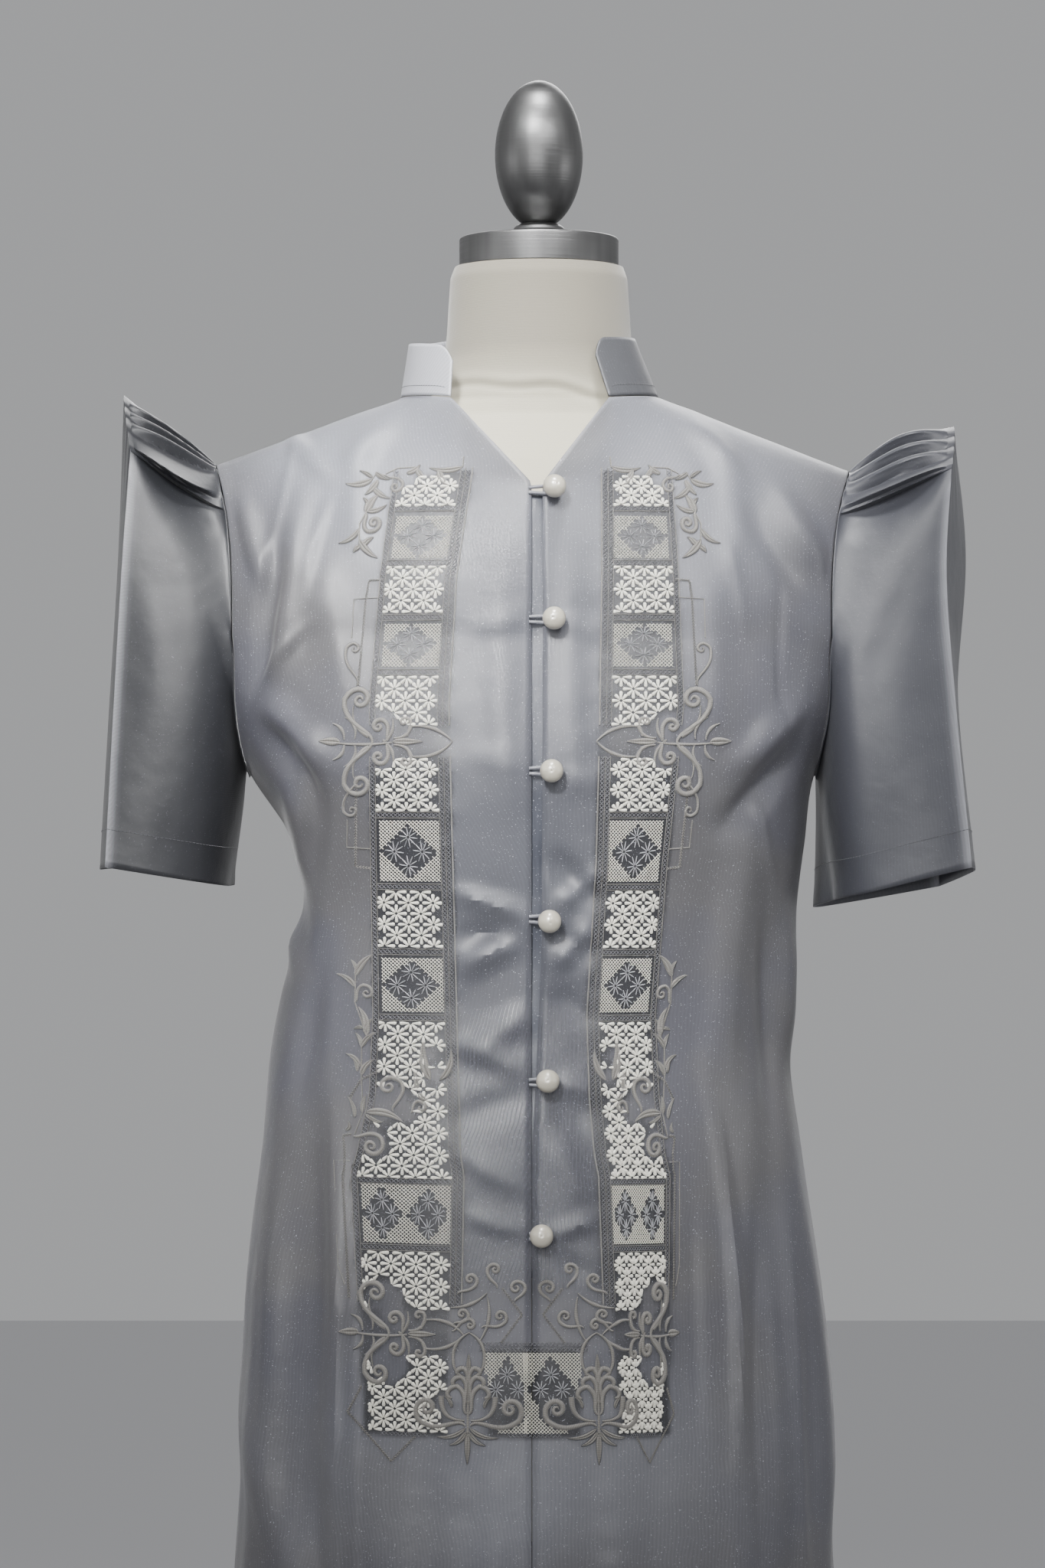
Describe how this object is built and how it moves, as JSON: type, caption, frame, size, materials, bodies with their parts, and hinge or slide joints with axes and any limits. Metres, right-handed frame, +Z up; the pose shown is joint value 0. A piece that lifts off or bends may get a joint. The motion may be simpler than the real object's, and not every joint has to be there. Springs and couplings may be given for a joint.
{
  "type": "filipiniana dress on a limbless dress form",
  "caption": "Sheer organza filipiniana dress with a split stand collar, butterfly sleeves, embroidered bands and pearl buttons, on a limbless dress form with a round stand.",
  "frame": {"origin": "centre of the stand base's underside, on the floor", "axes": "+Z up, the dress faces -Y, +X to the wearer's left, which is the right of someone who looks at the front"},
  "size_m": [0.5616, 0.38, 1.5571],
  "materials": {
    "organza": "sheer blue-grey organza with a fine sheen",
    "sleeve_organza": "two layers of stiff blue-grey organza",
    "pearl": "pearlescent",
    "jersey": "cream knitted jersey, matt",
    "brushed_metal": "turned and brushed"
  },
  "bodies": {
    "root": {"front_right": "organza", "front_left": "organza", "back": "organza", "opening_strip": "organza", "collar": "sleeve_organza", "sleeve_right": "sleeve_organza", "sleeve_left": "sleeve_organza", "pearl_1": "pearl", "loop_1": "sleeve_organza", "pearl_2": "pearl", "loop_2": "sleeve_organza", "pearl_3": "pearl", "loop_3": "sleeve_organza", "pearl_4": "pearl", "loop_4": "sleeve_organza", "pearl_5": "pearl", "loop_5": "sleeve_organza", "pearl_6": "pearl", "loop_6": "sleeve_organza", "form_torso": "jersey", "neck_cap": "brushed_metal", "finial": "brushed_metal", "stand_pole": "brushed_metal", "stand_socket": "brushed_metal", "stand_base": "brushed_metal"}
  },
  "joints": []
}
